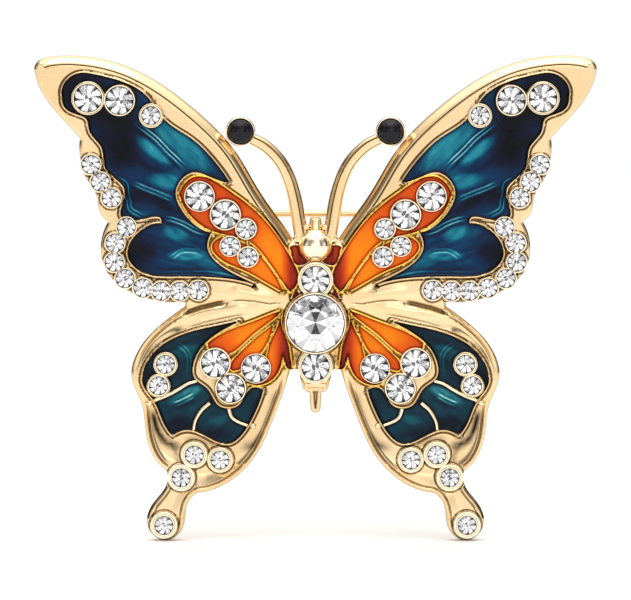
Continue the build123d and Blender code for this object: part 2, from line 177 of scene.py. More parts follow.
def normals_of(loop):
    """Unit plan vectors away from what a loop bounds."""
    return to_right(np.roll(loop, -1, 0) - np.roll(loop, 1, 0))


class Border:
    """Outlines sampled closely, to ask how far plan points are from them."""

    def __init__(self, loops):
        sampled = [smooth(loop, SAMPLE_STEP) for loop in loops]
        self.points = np.concatenate(sampled)
        self.normals = np.concatenate([normals_of(loop) for loop in sampled])
        self.tree = kdtree.KDTree(len(self.points))
        for i, (x, z) in enumerate(self.points):
            self.tree.insert((x, z, 0), i)
        self.tree.balance()

    def ask(self, plan):
        """The distance to the nearest sample, and which sample it is."""
        found = [self.tree.find((x, z, 0)) for x, z in plan]
        return np.array([f[2] for f in found]), np.array([f[1] for f in found])

    def depth(self, plan):
        """How far plan points are in from the outlines, less than 0 outside, and the sample."""
        away, nearest = self.ask(plan)
        across = -((plan - self.points[nearest]) * self.normals[nearest]).sum(1)
        sideways = np.sqrt(np.clip(away**2 - across**2, 0, None))
        signed = np.where(across < 0, -away, away)
        return np.where(sideways < SAMPLE_STEP, across, signed), nearest


def inside(plan, loops):
    """Which plan points are inside the outlines, by counting crossings."""
    x, z = plan[:, 0], plan[:, 1]
    odd = np.zeros(len(plan), bool)
    for loop in loops:
        for (x0, z0), (x1, z1) in zip(loop, np.roll(loop, -1, 0)):
            if z0 != z1:
                odd ^= ((z0 > z) != (z1 > z)) & (x < (x1 - x0) * (z - z0) / (z1 - z0) + x0)
    return odd


def away_from(plan, centre):
    return np.linalg.norm(plan - centre, axis=1)


def bump(distance, middle, width):
    """A smooth hump, 1 at the middle distance."""
    return np.exp(-(((distance - middle) / width) ** 2))


def fade(distance, width):
    """1 at a border or beyond it, fading with the distance in from it."""
    return np.exp(-np.clip(distance, 0, None) / width)


def ease(value, low, high):
    """0 below low, 1 above high, and smooth between."""
    t = np.clip((value - low) / (high - low), 0, 1)
    return t * t * (3 - 2 * t)


def curve(points, steps=10):
    """A smooth line through plan points."""
    line = np.array(points, float)
    ends = np.concatenate([[2 * line[0] - line[1]], line, [2 * line[-1] - line[-2]]])
    t = (np.arange(steps) / steps)[:, None]
    spans = [
        0.5 * (2 * b + (c - a) * t + (2 * a - 5 * b + 4 * c - d) * t**2
               + (3 * b - a - 3 * c + d) * t**3)
        for a, b, c, d in zip(ends, ends[1:], ends[2:], ends[3:])
    ]
    return np.concatenate([*spans, line[-1:]])


def beside(track):
    """Unit plan vectors to the right of each point of an open line."""
    return to_right(np.gradient(track, axis=0))


def along(plan, points):
    """How far plan points are from an open line, more than 0 on its left, and their share of it."""
    points = np.asarray(points, float)
    best = np.full(len(plan), 1e9)
    share = np.zeros(len(plan))
    legs = np.diff(points, axis=0)
    lengths = np.linalg.norm(legs, axis=1)
    starts = np.concatenate([[0], np.cumsum(lengths)])
    for start, leg, length, done in zip(points, legs, lengths, starts):
        t = np.clip(((plan - start) @ leg) / length**2, 0, 1)
        off = plan - start - t[:, None] * leg
        away = np.linalg.norm(off, axis=1)
        nearer = away < np.abs(best)
        left = leg[0] * off[:, 1] - leg[1] * off[:, 0] > 0
        best = np.where(nearer, np.where(left, away, -away), best)
        share = np.where(nearer, (done + t * length) / starts[-1], share)
    return best, share


def tips(share, reach=0.2):
    """1 along a line, easing to 0 at its two ends over a share of its length."""
    return ease(np.minimum(share, 1 - share), -0.01, reach)


def stroke(plan, points, width):
    """A soft line along plan points, 1 on it and thinning to nothing at its ends."""
    away, share = along(plan, points)
    return bump(away, 0, width) * tips(share, 0.5 if width > 0.5 else 0.2)


def rows_along(points, offsets):
    """Plan points in rows on both sides of an open line."""
    track = curve(points)
    side = beside(track)
    return np.concatenate([track + offset * side for offset in offsets])


def circle(centre, radius, turns):
    """Plan points of a circle at the given angles."""
    return np.array(centre) + radius * np.stack([np.cos(turns), np.sin(turns)], 1)


def circles(centre, radii, step):
    """Plan points round circles of one centre, one point of each circle behind another."""
    count = int(2 * math.pi * radii[0] / step)
    turns = np.linspace(0, 2 * math.pi, count, endpoint=False)
    return np.concatenate([circle(centre, radius, turns) for radius in radii])


def blob(plan, centre, long, short, towards, firm):
    """An elliptical patch, long towards a plan direction. Its rim is soft at 1, harder above."""
    axis = np.array(towards) / np.linalg.norm(towards)
    off = plan - centre
    run = off @ axis
    across = off @ np.array([-axis[1], axis[0]])
    return np.exp(-(((run / long) ** 2 + (across / short) ** 2) ** firm))


# ---- meshes ----


def place(plan, height):
    """Space points in metres from plan points and heights out of the back."""
    plan = np.asarray(plan, float)
    height = np.broadcast_to(height, len(plan))
    return np.stack([plan[:, 0], BACK_Y - height, plan[:, 1]], 1) * MM


def linked(name, data):
    """A new object in the scene."""
    made = bpy.data.objects.new(name, data)
    bpy.context.scene.collection.objects.link(made)
    return made


class Shape:
    """Vertices, faces and the material of each face, gathered before they become one piece."""

    def __init__(self):
        self.verts = []
        self.faces = []
        self.marks = []
        self.count = 0

    def add(self, verts, faces, marks=0):
        self.verts.append(np.asarray(verts, float))
        self.faces += [tuple(int(i) + self.count for i in face) for face in faces]
        self.marks += list(marks) if np.ndim(marks) else [marks] * len(faces)
        self.count += len(verts)

    def filled(self, *parts):
        """One value for each vertex: the given ones first, and 0 for the rest."""
        known = np.concatenate(parts)
        return np.concatenate([known, np.zeros(self.count - len(known))])

    def mirrored(self):
        """The same shape on the other wing."""
        other = Shape()
        flipped = np.concatenate(self.verts) * (-1, 1, 1)
        other.add(flipped, [face[::-1] for face in self.faces], self.marks)
        return other

    def piece(self, name, materials, body="brooch", slot="gold_plate", sharp=SHARP_EDGE,
              values=None, face_values=None, normals=None):
        """The finished Blender piece, riding on its body."""
        mesh = bpy.data.meshes.new(name)
        mesh.from_pydata(np.concatenate(self.verts).tolist(), [], self.faces)
        mesh.polygons.foreach_set("material_index", self.marks)
        for material in materials:
            mesh.materials.append(material)
        mesh.polygons.foreach_set("use_smooth", [True] * len(mesh.polygons))
        if normals is None:
            work = bmesh.new()
            work.from_mesh(mesh)
            bmesh.ops.recalc_face_normals(work, faces=work.faces)
            work.to_mesh(mesh)
            work.free()
            mesh.set_sharp_from_angle(angle=sharp)
        else:
            mesh.normals_split_custom_set_from_vertices(normals.tolist())
        for domain, table in (("POINT", values), ("FACE", face_values)):
            for key, numbers in (table or {}).items():
                layer = mesh.attributes.new(key, "FLOAT", domain)
                layer.data.foreach_set("value", np.asarray(numbers, np.float32))
        mesh.update()
        made = linked(name, mesh)
        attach(made, body)
        return made


def band(start, size):
    """The faces between a ring of points and the ring of points after it."""
    ends = [(start + k, start + (k + 1) % size) for k in range(size)]
    return [(a, b, b + size, a + size) for a, b in ends]


def lathe(shape, centre, profile, segments=48, marks=0):
    """Adds a turned solid about an axis out of the face.

    The profile is (radius, height) from end to end, closed onto the axis at its first and last
    heights. Marks are one material, or one for each ring of faces after the first.
    """
    turns = np.arange(segments) * 2 * math.pi / segments
    rings = [place(circle(centre, radius, turns), height) for radius, height in profile[1:-1]]
    bottom, top = (place([centre], height) for _, height in (profile[0], profile[-1]))
    marks = marks if np.ndim(marks) else [marks] * len(rings)
    last = 1 + len(rings) * segments
    faces = [(0, b, a) for a, b, *_ in band(1, segments)]
    for start in range(1, last - segments, segments):
        faces += band(start, segments)
    faces += [(a, b, last) for a, b, *_ in band(last - segments, segments)]
    shape.add(np.concatenate([bottom, *rings, top]), faces, np.repeat([0, *marks], segments))


def loft(shape, sections):
    """Adds a closed solid through rings of space points, capped at both ends."""
    size = len(sections[0])
    last = (len(sections) - 1) * size
    faces = [range(size), range(last, last + size)[::-1]]
    for start in range(0, last, size):
        faces += band(start, size)
    shape.add(np.concatenate(sections), faces)


def sweep(shape, track, wide, narrow, across, heights):
    """Adds a bar along an open line; its section shrinks from one half width to another."""
    halves = np.linspace(wide, narrow, len(track))
    loft(shape, [place(middle + np.outer(half * across, side), heights)
                 for middle, side, half in zip(track, beside(track), halves)])


def rows_beside(loops, distances, border, side):
    """Plan points in rows beside the outlines, dropped where another stretch is nearer."""
    kept = []
    for loop in loops:
        line = smooth(loop, ROW_STEP)
        normal = normals_of(line)
        for distance in distances:
            row = line + side * distance * normal
            kept.append(row[border.ask(row)[0] > 0.88 * distance])
    return np.concatenate(kept)


def grid_over(low, high, step):
    """Evenly spread plan points, every other row moved half a step across."""
    zs = np.arange(low[1], high[1], step * math.sqrt(3) / 2)
    xs = np.arange(low[0], high[0], step)
    rows = [np.stack([xs + (i % 2) * step / 2, np.full(len(xs), z)], 1) for i, z in enumerate(zs)]
    return np.concatenate(rows)


def sheet(loops, points):
    """Plan triangles that fill the outlines through the given points, as points and faces."""
    lines = [smooth(loop, ROW_STEP) for loop in loops]
    edges = []
    for line in lines:
        edges += [(a, b) for a, b, *_ in band(len(edges), len(line))]
    every = np.concatenate([*lines, points])
    verts, _, faces, *_ = delaunay_2d_cdt([Vector(p) for p in every], edges, [], 0, 1e-4)
    plan = np.array([tuple(v) for v in verts])
    faces = np.array([f for f in faces if len(f) == 3])
    faces = faces[inside(plan[faces].mean(1), lines)]
    used, renumbered = np.unique(faces, return_inverse=True)
    return plan[used], renumbered.reshape(-1, 3)


def slopes(height, plan):
    """How fast a height function rises along x and along z."""
    return [(height(plan + step) - height(plan - step)) / (2 * SLOPE_STEP)
            for step in SLOPE_STEP * np.eye(2)]


def slab(plan, faces, top, back, top_slope, back_slope, belts):
    """A closed solid over plan triangles: its shape and its vertex normals.

    Belts are the heights of rings round the edge, from the top down.
    """
    n = len(plan)
    shape = Shape()
    shape.add(place(plan, top), faces)
    shape.add(place(plan, back), faces[:, ::-1])
    normals = [
        unit(np.stack([-top_slope[0], -np.ones(n), -top_slope[1]], 1)),
        unit(np.stack([back_slope[0], np.ones(n), back_slope[1]], 1)),
    ]
    pairs = set()
    for a, b, c in faces.tolist():
        pairs |= {(a, b), (b, c), (c, a)}
    rim_edges = sorted(e for e in pairs if e[::-1] not in pairs)
    rim = sorted({a for e in rim_edges for a in e})
    first, second = np.array(rim_edges).T
    outward = np.zeros((n, 2))
    for ends in (first, second):
        np.add.at(outward, ends, to_right(plan[second] - plan[first]))
    outward = unit(outward[rim])
    rings = [dict(zip(rim, rim))]
    for height in belts:
        rings.append(dict(zip(rim, range(shape.count, shape.count + len(rim)))))
        shape.add(place(plan[rim], height), [])
        normals.append(np.stack([outward[:, 0], np.zeros(len(rim)), outward[:, 1]], 1))
    rings.append({a: a + n for a in rim})
    for upper, lower in zip(rings, rings[1:]):
        shape.faces += [(upper[b], upper[a], lower[a], lower[b]) for a, b in rim_edges]
        shape.marks += [0] * len(rim_edges)
    return shape, np.concatenate(normals)


# ---- materials ----


class Nodes:
    """A material or world node tree, with short ways to add what the looks below need."""

    def __init__(self, owner):
        owner.use_nodes = True
        self.tree = owner.node_tree
        self.tree.nodes.clear()

    def new(self, kind, inputs=None, **settings):
        """A node with its settings made, and its inputs linked or set."""
        node = self.tree.nodes.new(kind)
        for key, value in settings.items():
            setattr(node, key, value)
        for key, value in (inputs or {}).items():
            if isinstance(value, bpy.types.NodeSocket):
                self.tree.links.new(value, node.inputs[key])
            else:
                node.inputs[key].default_value = value
        return node

    def math(self, operation, a, b):
        return self.new("ShaderNodeMath", {0: a, 1: b}, operation=operation).outputs[0]

    def remap(self, value, low, high, to_low, to_high, easing="LINEAR"):
        inputs = dict(enumerate((value, low, high, to_low, to_high)))
        return self.new("ShaderNodeMapRange", inputs, interpolation_type=easing).outputs[0]

    def value_of(self, name):
        return self.new("ShaderNodeAttribute", attribute_name=name).outputs["Fac"]

    def noise(self, scale, detail=3.0, vector=None, roughness=0.5):
        inputs = {
            "Scale": scale, "Detail": detail, "Roughness": roughness,
            "Vector": vector or self.new("ShaderNodeTexCoord").outputs["Object"],
        }
        return self.new("ShaderNodeTexNoise", inputs).outputs["Fac"]

    def mix(self, factor, a, b):
        return self.new("ShaderNodeMix", {0: factor, 6: a, 7: b}, data_type="RGBA").outputs[2]

    def ramp(self, value, stops):
        node = self.new("ShaderNodeValToRGB", {0: value})
        marks = node.color_ramp.elements
        while len(marks) < len(stops):
            marks.new(0.5)
        for mark, (position, colour) in zip(marks, stops):
            mark.position = position
            mark.color = colour
        return node.outputs[0]

    def bumped(self, height, strength, distance):
        inputs = {"Height": height, "Strength": strength, "Distance": distance}
        return self.new("ShaderNodeBump", inputs).outputs[0]

    def shader(self, **sockets):
        inputs = {key.replace("_", " "): value for key, value in sockets.items()}
        surface = self.new("ShaderNodeBsdfPrincipled", inputs)
        self.new("ShaderNodeOutputMaterial", {0: surface.outputs[0]})


def material(name):
    made = bpy.data.materials.new(name)
    return made, Nodes(made)


def rgb(*display):
    """An opaque linear colour from 0 to 255 display values."""
    return (*(((c / 255 + 0.055) / 1.055) ** 2.4 if c > 10 else c / 3294.6 for c in display), 1)


def gold_material(name, roughness, light, deep, cast=False, grain=0.0):
    """Pale gold plating: bright metal, a little uneven in tint and polish, with a fine grain.

    Cast gold also darkens by the piece's painted shade, takes a painted warm reflection of the
    orange enamel beside it, and is pebbled where the mould left it rough.
    """
    made, n = material(name)
    plate = n.mix(n.remap(n.noise(160.0, 4.0), 0.35, 0.65, 0, 1), rgb(*light), rgb(*deep))
    surface = n.math("ADD", n.math("MULTIPLY", n.noise(5200.0, 2.0), grain), n.noise(420.0, 2.0))
    polish = n.remap(n.noise(700.0, 5.0), 0.3, 0.7, roughness * 0.75, roughness * 1.35)
    if cast:
        # A painted warm reflection of the orange enamel, on the gold beside it
        painted_warm_reflection = n.value_of("painted_warm_reflection")
        plate = n.mix(painted_warm_reflection, plate, rgb(255, 210, 70))
        # Painted shade: dark brown, or red-brown by the orange enamel, mixed in by the shade values
        painted_shade_colour = n.mix(painted_warm_reflection, rgb(24, 12, 6), rgb(112, 40, 10))
        plate = n.mix(n.value_of("shade"), plate, painted_shade_colour)
        rough_cast = n.value_of("rough_cast")
        pebbles = n.math("MULTIPLY", n.noise(1700.0, 3.0), n.math("MULTIPLY", rough_cast, 3.0))
        surface = n.math("ADD", surface, pebbles)
        polish = n.math("ADD", polish, n.math("MULTIPLY", rough_cast, 0.16))
    n.shader(
        Base_Color=plate,
        Metallic=1.0,
        Roughness=polish,
        Normal=n.bumped(surface, 0.25, 0.00004),
    )
    return made


def enamel_material(name, stops, streaks=0.04):
    """Glossy translucent enamel: a tone from the painted field, broken by brushed streaks."""
    made, n = material(name)
    spread = n.new("ShaderNodeCombineXYZ", {
        0: n.math("MULTIPLY", n.value_of("turn"), 9.0),
        1: n.math("MULTIPLY", n.value_of("reach"), 0.16),
    })
    brushed = n.noise(2.2, 5.0, spread.outputs[0], 0.62)
    tone = n.math("ADD", n.value_of("tone"), n.remap(brushed, 0.25, 0.75, -streaks, streaks))
    tone = n.math("ADD", tone, n.remap(n.noise(260.0), 0.3, 0.7, -0.05, 0.05))
    n.shader(
        Base_Color=n.ramp(tone, [(position, rgb(*colour)) for position, colour in stops]),
        Roughness=n.remap(n.noise(900.0, 4.0), 0.3, 0.7, 0.05, 0.12),
        IOR=1.22,
        Normal=n.bumped(n.math("ADD", brushed, n.noise(330.0, 2.0)), 0.12, 0.0001),
    )
    return made


GOLD = gold_material("cast_gold", 0.13, (240, 212, 168), (234, 203, 155), cast=True, grain=0.25)
# The same plating made paler for the cups, ribs, head and antenna tips: a painted highlight
PALE_LIT_GOLD = gold_material("pale_lit_gold", 0.16, (253, 240, 214), (249, 232, 198))
WIRE_GOLD = gold_material("finding_gold", 0.2, (240, 212, 166), (233, 200, 150), grain=0.4)
CRYSTAL, n = material("cut_glass")
n.shader(Base_Color=(0.97, 0.98, 1.0, 1), Transmission_Weight=1.0, IOR=1.42,
         Roughness=n.remap(n.noise(1500.0, 2.0), 0.4, 0.9, 0.0, 0.03))
FOIL, n = material("silver_foil")
bright = n.mix(n.noise(3000.0, 2.0), (0.93, 0.93, 0.95, 1), (0.99, 0.98, 0.97, 1))
# Painted dark reflections: chosen facets of the foil are near black
n.shader(Base_Color=n.mix(n.value_of("painted_dark_facet"), bright, (0.006, 0.006, 0.01, 1)),
         Metallic=1.0, Roughness=0.03)
BLACK, n = material("black_glass")
dark = n.mix(n.noise(800.0, 2.0), (0.004, 0.004, 0.006, 1), (0.012, 0.012, 0.016, 1))
n.shader(Base_Color=dark, Roughness=n.remap(n.noise(1200.0), 0.3, 0.7, 0.03, 0.09), IOR=1.3)
# The dark line between a stone and its bezel: painted shade in the gap, on dull dark gold
SEAT_SHADE, n = material("seat_shadow")
n.shader(Base_Color=n.mix(n.noise(2000.0), rgb(38, 22, 10), rgb(20, 12, 8)),
         Metallic=0.6, Roughness=0.55)
TEAL = enamel_material("teal_enamel", [
    (0.0, (3, 5, 10)), (0.2, (10, 18, 42)), (0.4, (4, 44, 80)),
    (0.58, (0, 88, 116)), (0.76, (36, 138, 156)), (1.0, (165, 228, 228)),
], 0.11)
DEEP_TEAL = enamel_material("deep_teal_enamel", [
    (0.0, (3, 6, 10)), (0.2, (8, 22, 38)), (0.4, (6, 52, 68)),
    (0.58, (10, 84, 96)), (0.76, (58, 146, 156)), (1.0, (176, 228, 228)),
], 0.11)
ORANGE = enamel_material("orange_enamel", [
    (0.0, (58, 6, 8)), (0.25, (132, 26, 10)), (0.5, (206, 66, 14)),
    (0.78, (238, 106, 8)), (1.0, (252, 148, 12)),
])
RED = enamel_material("red_enamel", [
    (0.0, (46, 6, 8)), (0.4, (120, 24, 12)), (0.7, (184, 58, 16)), (1.0, (224, 96, 24)),
], 0.12)

# The material and the slot of each kind of cell
SKINS = {
    "teal_upper": (TEAL, "teal_enamel"),
    "teal_lower": (DEEP_TEAL, "teal_enamel"),
    "orange_upper": (ORANGE, "orange_enamel"),
    "orange_lower": (ORANGE, "orange_enamel"),
    "red": (RED, "red_enamel"),
}


# ---- stones and their cups ----

# Proportions of a stone, as shares of its radius
TABLE_SHARE = 0.55
STAR_SHARE = 0.78
CROWN_SHARE = 0.36
PAVILION_SHARE = 0.96
# The radii above which a stone is the centre stone, or a middling one
CENTRE_STONE = 2.0
MIDDLING_STONE = 1.2
# The girdle's height and its depth in the cup, the cup's foot, and the seat's depth in the cup
GIRDLE = 0.05
GIRDLE_BELOW_RIM = 0.1
CUP_FOOT = 0.42
SEAT_DEPTH = 0.3
casting_points = np.array([v.co for v in frame["nodes"]["casting"].data.vertices]) / MM


def stones_of(node):
    """Centre, table radius and table height of every round stone in a CAD node."""
    height = BACK_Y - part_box(node)[0].y / MM
    loops = outlines(node)
    return [(loop.mean(0), away_from(loop, loop.mean(0)).max(), height) for loop in loops]


def cup_of(centre, radius, table):
    """The outer radius and rim height of the cup round a stone, read from the casting.

    The cup's edge is the first distance that five of the casting's points share.
    """
    away = away_from(casting_points[:, [0, 2]], centre)
    rim = table - CROWN_SHARE * radius - GIRDLE + GIRDLE_BELOW_RIM
    level = np.abs(BACK_Y - casting_points[:, 1] - rim) < 0.01
    outer = np.sort(away[level & (away > radius + 0.12) & (away < radius + 1.0)])
    starts = [r for i, r in enumerate(outer[:-4]) if outer[i + 4] - r < 0.004]
    return (starts[0] if starts else radius + 0.2), rim


def painted_facet_reflections(radius, seed):
    """Painted dark reflections on the foil's 8 inner facets, the 8 kites round them and 16 wedges.
    """
    if radius > CENTRE_STONE:
        return [0.98, 0.6, 0, 0, 0, 0, 0, 0.6], [0.12, 0] * 4, [0, 0, 0.35, 0] * 4
    inner = [(0.0, 0.85, 0.1)[(k // 3 + seed) % 3] for k in range(8)]
    kites = [0.5 if (k * 3 + seed) % 7 == 0 else 0.0 for k in range(8)]
    wedges = [(0.98, 0, 0.95, 0, 0.98, 0, 0.75, 0)[(k + 2 * seed) % 8] for k in range(16)]
    return inner, kites, wedges


def brilliant(shape, centre, radius, table, turn, seed):
    """A round brilliant: crown over foil-backed pavilion. Returns how dark each facet's painted
    reflection is.
    """
    crown = CROWN_SHARE * radius
    girdle = table - crown - GIRDLE

    def ring(count, share, height, offset):
        turns = turn + (np.arange(count) + offset) * 2 * math.pi / count
        return place(circle(centre, share * radius, turns), height)

    half_step = math.cos(math.pi / 8)
    star_height = girdle + GIRDLE + crown * (1 - half_step * STAR_SHARE) / (1 - TABLE_SHARE)
    lower = 0.42 if radius > CENTRE_STONE else 0.3
    uneven = 0.4 if radius > MIDDLING_STONE else 0.32
    deep = min(PAVILION_SHARE * radius, girdle - WELL_FLOOR - 0.04)
    # Points 0-7 table, 8-15 stars, 16-31 and 32-47 girdle, 48-55 pavilion, 56 its tip
    verts = np.concatenate([
        ring(8, TABLE_SHARE, table, 0),
        ring(8, STAR_SHARE, star_height, 0.5),
        ring(16, 1, girdle + GIRDLE, 0),
        np.stack([ring(8, 1, girdle, 0), ring(8, 1, girdle, uneven)], 1).reshape(-1, 3),
        ring(8, lower, girdle - deep * (1 - half_step * lower), 0.5),
        place([centre], girdle - deep),
    ])
    inner, kites, wedges = painted_facet_reflections(radius, seed)
    faces = [tuple(range(8))]
    foil = []
    dark = []
    for k in range(8):
        n, p = (k + 1) % 8, (k - 1) % 8
        top, mid, after = 16 + 2 * k, 17 + 2 * k, 16 + (2 * k + 2) % 16
        faces += [
            (k, 8 + k, n), (k, 8 + p, top, 8 + k), (8 + k, top, mid), (8 + k, mid, after),
            (top, mid, mid + 16, top + 16), (mid, after, after + 16, mid + 16),
        ]
        foil += [
            (48 + k, mid + 16, top + 16), (48 + k, after + 16, mid + 16),
            (48 + k, top + 16, 48 + p), (56, 48 + k, 48 + p),
        ]
        # How dark the foil of each facet is painted, for dark reflections
        dark += [wedges[2 * k], wedges[2 * k + 1], kites[k], inner[k]]
    shape.add(verts, faces + foil, [0] * len(faces) + [1] * len(foil))
    return [0.0] * len(faces) + dark


def bezel(shape, centre, cup, radius, rim):
    """A turned cup: inner lip, seat round the stone in painted shade, and a ledge where there is
    room.
    """
    lip = radius + min(0.22, cup - radius)
    pavilion = PAVILION_SHARE * radius
    seat = rim - SEAT_DEPTH
    profile = [(0, CUP_FOOT), (cup - 0.06, CUP_FOOT), (cup, CUP_FOOT + 0.06)]
    if cup > lip + 0.05:
        ledge = rim - 0.1
        profile += [(cup, ledge - 0.1), (cup - 0.03, ledge - 0.02), (0.5 * (cup + lip), ledge),
                    (lip + 0.03, ledge - 0.02), (lip + 0.015, ledge - 0.14)]
    else:
        profile += [(cup, rim - 0.3)]
    profile += [(lip, rim - 0.12), (lip - 0.01, rim - 0.03), (lip - 0.03, rim)]
    painted_seat_shade = [(radius + 0.07, rim), (radius + 0.05, rim - 0.03), (radius + 0.02, seat),
                 (0.5 * radius, seat - 0.5 * pavilion), (0, seat - 0.04 - pavilion)]
    marks = [0] * (len(profile) - 1) + [1] * (len(painted_seat_shade) - 1)
    lathe(shape, centre, profile + painted_seat_shade, marks=marks)


def stones():
    """Every crystal as its own piece, and the cups that hold them. Returns the cups' places."""
    cups = {"right": Shape(), "middle": Shape()}
    wells = []
    for node in sorted(n for n in frame["nodes"] if n.startswith("crystal")):
        shape = Shape()
        dark_facet_reflections = []
        for centre, table_radius, table in stones_of(node):
            radius = table_radius / TABLE_SHARE
            seed = int(abs(centre[0]) * 7 + abs(centre[1]) * 3)
            turn = -math.pi / 2 if radius > CENTRE_STONE else 0.4 * seed
            dark_facet_reflections += brilliant(shape, centre, radius, table, turn, seed)
            cup, rim = cup_of(centre, radius, table)
            if centre[0] > -0.1:
                side = "middle" if abs(centre[0]) < 0.1 else "right"
                bezel(cups[side], centre, cup, radius, rim)
            wells.append((centre, cup))
        cut = shape.piece(node.replace("crystal", "brilliant", 1), [CRYSTAL, FOIL],
                          slot="clear_crystal", sharp=0.01, face_values={"painted_dark_facet": dark_facet_reflections})
        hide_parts(node)
    cups["right"].piece("bezels_right", [PALE_LIT_GOLD, SEAT_SHADE])
    cups["right"].mirrored().piece("bezels_left", [PALE_LIT_GOLD, SEAT_SHADE])
    cups["middle"].piece("bezels_body", [PALE_LIT_GOLD, SEAT_SHADE])
    return wells


# ---- casting ----

cell_loops = {kind: outlines(f"enamel_{kind}_right") for kind in SKINS}
every_cell = [loop for loops in cell_loops.values() for loop in loops]
silhouette_loops = outlines("casting", back=True)
silhouette = Border(silhouette_loops)
cells = Border(every_cell)
orange_border = Border(cell_loops["orange_upper"] + cell_loops["orange_lower"])

# How far each sample of the silhouette faces the way the wings' leading edge does
LEADING = unit(np.array([[-0.45, 0.89]]))[0]
to_right_wing = np.sign(silhouette.points[:, :1]) ** np.array([1, 0])
leading = ease((silhouette.normals * to_right_wing) @ LEADING, 0.25, 0.6)

# Folds and grooves of the gold where the wings meet: plan points of the right wing, half width,
# height, and how dark the painted shade is along them
FOLDS = [
    ([(14.5, -10.7), (13.4, -10.3), (12.3, -9.9), (10.6, -9.5), (9.2, -9.25)], 0.27, -0.42, 0.85),
    ([(9.6, -9.3), (8.2, -9.1), (6.6, -9.2), (4.9, -9.5), (3.3, -9.3)], 0.1, -0.14, 0.75),
    ([(14.3, -12.2), (12.0, -11.5), (9.6, -10.95), (7.2, -10.5)], 0.1, -0.12, 0.7),
    ([(11.6, -8.4), (8.2, -8.25), (5.6, -8.75), (2.8, -9.2)], 0.75, 0.24, 0.0),
    ([(15.6, -12.2), (11.5, -10.75), (8.2, -10.05), (5.2, -9.9), (2.8, -9.4)], 0.6, 0.2, 0.0),
]
# Dark reflections in the lower wing's border: plan points, half width, how dark
SHADES = [
    ([(17.6, -20.4), (17.0, -22.8), (16.3, -24.1), (15.2, -24.7), (13.9, -24.9)], 0.45, 1.0),
    ([(15.2, -24.8), (14.9, -25.6), (14.7, -26.6)], 0.3, 0.6),
    ([(14.4, -23.9), (12.6, -23.9), (11.0, -24.5), (9.4, -25.1)], 0.3, 0.5),
    ([(3.9, -18.2), (4.6, -20.8), (5.5, -23.2), (6.6, -24.6), (8.4, -25.3)], 0.45, 0.85),
    ([(16.5, -28.4), (17.2, -30.0), (17.6, -31.6)], 0.25, 0.6),
]
FAN_LINE = [(2.6, -9.2), (6.0, -9.2), (12.0, -9.4), (14.0, -10.4)]
FINDING_PAD = (14.7, 0.0)

# Rows of mesh points: in from the silhouette, out from the cells, beside the folds, round the
# cups, and round the pads
EDGE_ROWS = (0.06, 0.14, 0.23, 0.32, 0.41, 0.5, 0.56, 0.62, 0.74, 0.86, 0.93, 0.97, 1.01, 1.1,
             1.22, 1.36)
CELL_ROWS = (0.03, 0.09, 0.15, 0.22, 0.3, 0.35, 0.4, 0.52)
FOLD_ROWS = (-0.4, -0.25, -0.16, -0.08, 0, 0.08, 0.16, 0.25, 0.4)
CUP_ROWS = (0.02, 0.09, 0.15, 0.21, 0.3)
CUP_ROW_STEP = 0.24
PAD_ROWS = (3.2, 3.38, 3.55, 3.72, 3.9)


def folded(plan):
    """Plan points brought onto the right wing."""
    return np.stack([np.abs(plan[:, 0]), plan[:, 1]], 1)


class Relief:
    """Where plan points are among the borders of the gold."""

    def __init__(self, plan):
        self.plan = folded(plan)
        self.edge, nearest = silhouette.depth(self.plan)
        wall = -cells.depth(self.plan)[0]
        self.wall = np.where(wall < -0.1, -wall, wall)
        self.lead = leading[nearest]
        fan = bump(along(self.plan, FAN_LINE)[0], 0, 1.7)
        room = ease(self.edge + self.wall, 1.1, 1.9)
        low = ease(-self.plan[:, 1], 8.0, 10.5)
        self.plain = low * room * (1 - fan)
        self.neck = ease(self.plan[:, 1], -3.2, -2.2) * (1 - ease(self.plan[:, 0], 1.6, 2.4))


def land_height(plan, cups):
    """Height of the gold between the cells: bevelled leading edge, rims, coves and folds."""
    at = Relief(plan)
    bevel = np.maximum(BEVEL_WIDTH * at.lead, 0.05)
    height = LAND_TOP - BEVEL_DROP * at.lead * (1 - np.clip(at.edge / bevel, 0, 1)) ** 1.25
    height -= 0.2 * at.lead * bump(at.edge, bevel + 0.02, GROOVE_HALF_WIDTH)
    away = 1 - np.clip(at.edge / EDGE_ROUND, 0, 1)
    height -= (1 - 0.6 * at.lead) * EDGE_ROUND * (1 - np.sqrt(np.clip(1 - away**2, 0, 1)))
    share = np.clip(at.edge / (at.edge + np.abs(at.wall) + 1e-6), 0, 1)
    height -= COVE_DEPTH * at.plain * np.sin(math.pi * share**0.8) ** 2
    height += at.plain * (0.07 * bump(at.edge, 0.34, 0.12) - 0.12 * bump(at.edge, RIM_LINE, 0.06))
    clear = ease(at.edge, 0.3, 0.7)
    height += 0.12 * bump(at.wall, 0.14, 0.09) - 0.18 * clear * bump(at.wall, BEAD_LINE, 0.06)
    height -= 0.2 * bump(at.wall, -0.02, 0.05)
    for points, width, amount, _ in FOLDS:
        height += amount * stroke(at.plan, points, width)
    for centre, cup in cups:
        height -= 0.16 * bump(away_from(plan, centre) - cup, CUP_GROOVE, 0.05)
    return height + at.neck * (NECK_LEVEL - height)


